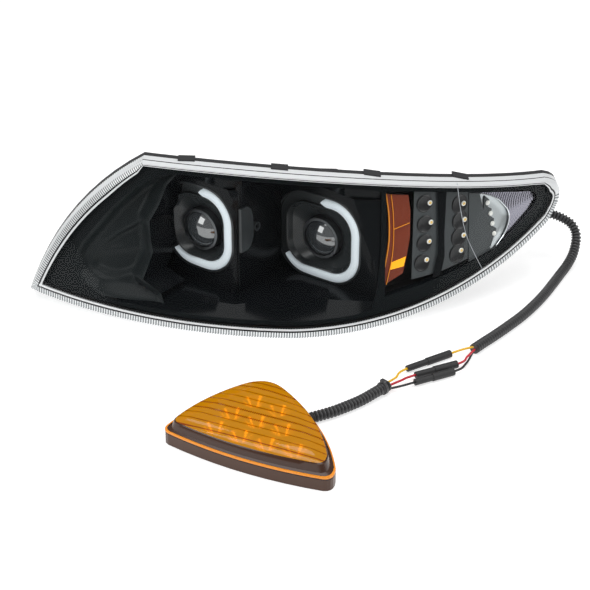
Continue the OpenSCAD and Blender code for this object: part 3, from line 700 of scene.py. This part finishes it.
def add_bezel():
    border = sheet("bezel_border", BEZEL, 10, FINISH["border_satin"], 9, (POD_WINDOW, SIGNAL_WINDOW), 2.5,
                   "bezel_black")
    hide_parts("inner_bezel")
    relief_sheet("bezel_scoop", SCOOP, scoop_depth, FINISH["scoop_satin"], 3, "bezel_black", 40,
                 "inner_bezel")
    add_pod_panel(1, -70, 64)
    add_pod_panel(2, -61.5, 105)
    add_bezel_wall()
    add_shelf_and_roof()
    add_lip("signal_lip", SIGNAL_WINDOW, 12, 22)
    drop_edge = [(-176, 40), (-200, 56), (-192, 76), (-186, 92), (-189, 108), (-190, 130), (-177, 152),
                 (-166, 178), (-150, 196)]
    rows = []
    for t in (0, 0.4, 1):
        row = []
        for x, z in drop_edge:
            px, py, pz = on_lens(x, z, scoop_depth(x, z))
            row.append((px + 48 * t * math.sin(AIM), py + 48 * t * math.cos(AIM), pz))
        rows.append(row)
    verts, faces = loft(rows, closed=False)
    drop = build("bezel_drop", verts, faces, FINISH["bezel_black"], slot="bezel_black")
    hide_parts("inner_bezel")


add_bezel()

# ---- shrouds and light guides round the projectors ----

def circle_like(outline, r, lift=0.0):
    """A circle with a point in the direction of each point of an outline."""
    result = []
    for x, z in outline:
        a = math.atan2(z - lift, x)
        result.append((r * math.cos(a), r * math.sin(a)))
    return result


def add_shroud(i):
    lift = GUIDE[i][2]
    def ring(grow, y):
        return [pod_point(i, x, y, z) for x, z in round_rect(i, grow)]
    outer = [ring(9, 18.5), ring(9, 1), ring(8.2, 0), ring(6.4, 0), ring(6.4, 5.5), ring(-6.4, 5.5),
             ring(-6.4, 0.2), ring(-7.2, -0.4), ring(-8.4, 0.4), ring(-12, 7)]
    rim = round_rect(i, -12)
    funnel = [[pod_point(i, x, y, z) for x, z in
               [(p[0] * (1 - t) + q[0] * t, p[1] * (1 - t) + q[1] * t)
                for p, q in zip(rim, circle_like(rim, 30.5, lift))]]
              for t, y in ((0.25, 9), (0.6, 12.5), (1, 15.5))]
    obj = build(f"shroud_{i}", *loft(outer + funnel), FINISH["shroud_satin"], crease=25, slot="bezel_black")
    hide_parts(f"guide_shroud_{i}")


def add_guide(i):
    """The C-shaped light guide: a rounded bar that thins towards its lower end."""
    loop = round_rect(i, 0, 240)
    first = next(k for k in range(240) if loop[k][0] > 4 and loop[k - 1][0] <= 4 and loop[k][1] > 0)
    loop = loop[first:] + loop[:first]
    last = next(k for k, p in enumerate(loop) if p[0] < 0 and p[1] > -34)
    path = loop[:last]
    rings = []
    for k, (x, z) in enumerate(path):
        ahead = Vector(path[min(k + 1, len(path) - 1)]) - Vector(path[max(k - 1, 0)])
        out = Vector((-ahead.y, ahead.x)).normalized()
        left, done = (len(path) - 1 - k) / 34, k / 5
        wide = 5.9 * min(1.0, math.sqrt(min(1.0, done + 0.05)), 0.12 + 0.88 * math.sqrt(min(1.0, left)))
        shape = [(-1, 5.2), (-1, 0), (-0.85, -1.6), (-0.5, -2.6), (0, -2.95), (0.5, -2.6), (0.85, -1.6),
                 (1, 0),
                 (1, 5.2)]
        rings.append([pod_point(i, x + out.x * s * wide, y, z + out.y * s * wide) for s, y in shape])
    obj = build(f"guide_{i}", *loft(rings, True, True), FINISH["guide_white"], crease=50, slot="guide_white")
    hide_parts(f"light_guide_{i}")


for pod in PODS:
    add_shroud(pod)
    add_guide(pod)

# ---- signal lamps at the outer end ----

AMBER = [(114, 50), (142, 63), (147, 84), (151, 108), (151, 141), (148, 161), (118, 166), (121, 141),
         (122, 110),
         (118, 82)]
DISCS = [(170, 146), (171, 120), (171, 96), (168, 71), (219, 136), (220, 115), (219, 94), (217, 73)]
DISC_R = [11.5] * 4 + [12.5] * 4
LEDS = [(177, 146), (179, 121), (177, 97), (174, 74), (224, 136), (226, 115), (225, 95), (222, 76)]
PANEL = [(154, 52), (196, 55), (234, 63), (236, 90), (238, 120), (236, 153), (200, 161), (156, 166)]
RIB = [(183, 50), (194, 52), (199, 75), (198, 105), (200, 157), (188, 158), (190, 105), (190, 80)]
THIRD = [(234, 57), (266, 62), (262, 80), (254, 120), (247, 145), (232, 148)]
CRESCENT = [(248, 144), (259, 140), (268, 135), (276, 129), (283, 121), (289, 113), (292, 104), (291, 95),
            (288, 87), (284, 80), (278, 74), (265, 61)]
REFLECTOR = [(248, 145)] + [(270, 140), (292, 134), (312, 128), (330, 123), (336, 119), (338, 112),
             (336, 104),
                            (328, 95), (320, 87), (305, 78), (290, 71), (266, 60)]
WHITE_LEDS = [(259, 128), (264, 113), (267, 99), (270, 85)]


def lens_axes(x, z):
    """Right, up and forward directions of the lens face at x, z."""
    p = Vector(on_lens(x, z, 0))
    right = (Vector(on_lens(x + 1, z, 0)) - p).normalized()
    up = (Vector(on_lens(x, z + 1, 0)) - p).normalized()
    return right, up, right.cross(up).normalized()


def turned_on_face(name, x, z, depth, profile, mat, sides=28, slot=None, node=None):
    """A turned piece standing on the panel at x, z; profile is a list of radius and height."""
    right, up, ahead = lens_axes(x, z)
    at = Vector(on_lens(x, z, depth))
    rings = []
    for r, h in profile:
        turns = [2 * math.pi * k / sides for k in range(sides)]
        rings.append([tuple(at + r * (math.cos(a) * right + math.sin(a) * up) + h * ahead) for a in turns])
    obj = build(name, *loft(rings, True, True), mat, slot=slot)
    if node:
        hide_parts(node)
    return obj


def amber_depth(x, z):
    """Fine crossed prisms."""
    return 15.5 + 0.5 * abs(math.sin(1.05 * (x + 0.6 * z))) * abs(math.sin(1.05 * (0.6 * x - z)))


def add_amber():
    relief_sheet("amber_prisms", AMBER, amber_depth, FINISH["amber_lens"], 1.3, "amber_lens", 60,
                 "amber_reflector")
    # A small painted highlight patch on the amber prisms.
    patch = sheet("amber_highlight_patch", [(126, 79), (146, 84), (143, 72), (124, 70)], 14.6, AMBER_PAINTED_HIGHLIGHT, 6, (), 0.6,
                  "amber_lens")
    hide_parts("amber_reflector")
    for k, (edge, r) in enumerate((([(112, 50), (119, 82), (123, 110), (122, 141), (118, 167)], 1.0),
                                   ([(120, 52), (127, 84), (129, 110), (128, 141), (125, 165)], 0.6),
                                   ([(129, 121), (150, 126)], 0.6))):
        path = smooth_path([on_lens(x, z, 14.4) for x, z in edge], 4)
        obj = build(f"amber_edge_{k}", *tube(path, [r] * len(path), 8), AMBER_LINE, slot="amber_lens")
        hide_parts("amber_reflector")


def add_turn_signal():
    panel = sheet("turn_plate", PANEL, 17.5, FINISH["panel_dark"], 8, (), 2, "panel_dark")
    rib = sheet("turn_rib", RIB, 13.5, FINISH["bezel_black"], 6, (), 4, "panel_dark")
    third = sheet("turn_side", THIRD, 16, FINISH["panel_dark"], 6, (), 3, "panel_dark")
    for obj in (panel, rib, third):
        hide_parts("turn_panel")
    for k, ((x, z), r) in enumerate(zip(DISCS, DISC_R)):
        cup = [(r, 0), (r, 0.9 + 0.1 * (k % 2)), (r - 1.2, 1.3 + 0.1 * (k % 2)), (r - 2.4, 0.9), (0.1, 0.6)]
        turned_on_face(f"turn_disc_{k}", x, z, 17.4, cup, FINISH["disc_dark"], 32, "panel_dark", "turn_panel")
    for k, (x, z) in enumerate(LEDS):
        ring = [(3.4, -1), (3.4, 1.8), (2.9, 2.4), (2.3, 2.6), (2.1, 2.2), (0.1, 2.2)]
        turned_on_face(f"turn_led_ring_{k}", x, z, 17.4, ring, FINISH["white_led"], 20, "amber_led",
                       "turn_leds")
        dot = [(1.9, 2), (1.7, 2.9), (0.9, 3.3), (0.1, 3.4)]
        turned_on_face(f"turn_led_{k}", x, z, 17.4, dot, FINISH["amber_led"], 16, "amber_led", "turn_leds")


def flute_depth(x, z):
    """Concentric flutes round the outer end."""
    r = math.hypot(x - 345, 1.25 * (z - 116))
    return 15.6 + 0.55 * math.sin(2 * math.pi * r / 3.6)


def add_corner_lamp():
    outline = REFLECTOR + list(reversed(CRESCENT))[1:-1]
    relief_sheet("fluted_reflector", outline, flute_depth, FINISH["corner_flute"], 1.2, "chrome_flute", 80,
                 "corner_reflector")
    path = smooth_path([on_lens(x, z, 14.2) for x, z in CRESCENT], 3)
    rim = build("crescent_rim", *tube(path, [0.9] * len(path), 8), FINISH["bright_rim"], slot="chrome_flute")
    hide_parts("corner_reflector")
    pocket = list(CRESCENT) + [(258, 72), (252, 110), (247, 140)]
    relief_sheet("pocket_bowl", pocket, lambda x, z: 18.5 + 3.6 * eased(gap((x, z), pocket) / 10),
                 FINISH["satin_silver"], 3, "satin_silver", 60, "corner_pocket")
    strip = [(255, 138), (262, 131), (260, 122), (266, 118), (264, 109), (270, 104), (268, 95), (274, 90),
             (270, 80), (266, 70), (258, 72), (253, 105)]
    obj = sheet("pocket_strip", strip, 18, FINISH["panel_dark"], 4, (), 2, "panel_dark")
    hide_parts("corner_pocket")
    for k, (x, z) in enumerate(WHITE_LEDS):
        dome = [(3.3, 0), (3.3, 1.5), (2.6, 2.6), (1.2, 3.2), (0.1, 3.3)]
        turned_on_face(f"white_led_{k}", x, z, 18.2, dome, FINISH["white_led"], 20, "white_led",
                       "position_leds")


add_amber()
add_turn_signal()
add_corner_lamp()

# ---- side lamp ----

LAMP_AT = (-149, -238)
LAMP_TURN = math.radians(-25)
LAMP_MID = Vector((100, 45))


def lamp_outline():
    curves = [((7, -5), (105, -27), (203, -12), 18), ((203, -12), (216, -9), (209, 10), 10),
              ((209, 10), (170, 82), (92, 128), 16), ((92, 128), (60, 146), (38, 112), 12),
              ((38, 112), (6, 62), (-1, 8), 14), ((-1, 8), (-2, -2), (7, -5), 6)]
    return [bez(a, b, c, t) for a, b, c, n in curves for t in span(0, 1, n)]


LAMP = lamp_outline()


def lamp_point(x, y, z):
    return (LAMP_AT[0] + x * math.cos(LAMP_TURN) - y * math.sin(LAMP_TURN),
            FRONT_Y + LAMP_AT[1] + x * math.sin(LAMP_TURN) + y * math.cos(LAMP_TURN), z)


def lamp_scaled(s):
    return [tuple(LAMP_MID + s * (Vector(p) - LAMP_MID)) for p in LAMP]


LAMP_RIB = 12.5


def lamp_top(x, y, rim):
    """Height of the ribbed face: a low crown with a saw-tooth of long ribs."""
    away = gap((x, y), rim)
    phase = (y + 60) / LAMP_RIB % 1
    tooth = 1.5 * (phase if phase < 0.86 else (1 - phase) * 6.1)
    return 29.5 + 2.6 * eased(away / 22) + tooth * eased(away / 5)


def add_lamp_lens():
    rim = lamp_scaled(0.885)
    flat, tris = region(rim, 2.6)
    verts = [lamp_point(x, y, lamp_top(x, y, rim)) for x, y in flat]
    top = build("side_lamp_face", verts, tris, FINISH["amber_side_lens"], crease=60, slot="amber_side_lens")
    # The steep step of each rib gets painted shade.
    top.data.materials.append(AMBER_RIB_PAINTED_SHADE)
    for polygon in top.data.polygons:
        y = sum(flat[i][1] for i in polygon.vertices) / 3
        phase = (y + 60) / LAMP_RIB % 1
        polygon.material_index = 1 if phase > 0.8 else 0
    wall = [[lamp_point(x, y, z) for x, y in lamp_scaled(s)]
            for s, z in ((0.975, 18.2), (0.93, 19.5), (0.915, 24), (0.9, 28.5), (0.885, 29.6))]
    side = build("side_lamp_wall", *loft(wall), LAMP_WALL, slot="amber_side_lens")
    flange = [[lamp_point(x, y, z) for x, y in lamp_scaled(s)]
              for s, z in ((0.93, 15), (0.995, 15), (1, 15.6), (1, 17.4), (0.995, 18), (0.93, 18))]
    lip = build("side_lamp_flange", *loft(flange), AMBER_LINE, slot="amber_side_lens")
    for obj in (top, side, lip):
        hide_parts("side_lamp_lens")


add_lamp_lens()

# ---- floor and light ----

def add_floor():
    bpy.ops.mesh.primitive_plane_add(size=12, location=(0, 0, -0.0005))
    floor = bpy.context.object
    floor.name = "floor"
    paper = material("paper", (0.6, 0.6, 0.6), 0.9, Emission_Color=(1, 1, 1, 1), Emission_Strength=0.62)
    floor.data.materials.append(paper)


def add_light(name, at, aim, size, power):
    data = bpy.data.lights.new(name, "AREA")
    data.size = size
    data.energy = power
    light = bpy.data.objects.new(name, data)
    light.location = at
    light.rotation_euler = (Vector(aim) - Vector(at)).to_track_quat("-Z", "Y").to_euler()
    bpy.context.collection.objects.link(light)


def add_studio():
    world = bpy.data.worlds.new("studio")
    world.use_nodes = True
    world.node_tree.nodes["Background"].inputs["Color"].default_value = (0.3, 0.3, 0.3, 1)
    bpy.context.scene.world = world
    add_light("overhead", (0, -0.2, 2.2), (0, 0, 0), 2.5, 45)
    add_light("left", (-2.0, -1.4, 1.2), (0, 0, 0.1), 1.2, 14)
    add_light("right", (2.0, -0.8, 1.4), (0, 0, 0.1), 1.0, 10)
    bpy.context.scene.view_settings.view_transform = "Standard"


add_floor()
add_studio()
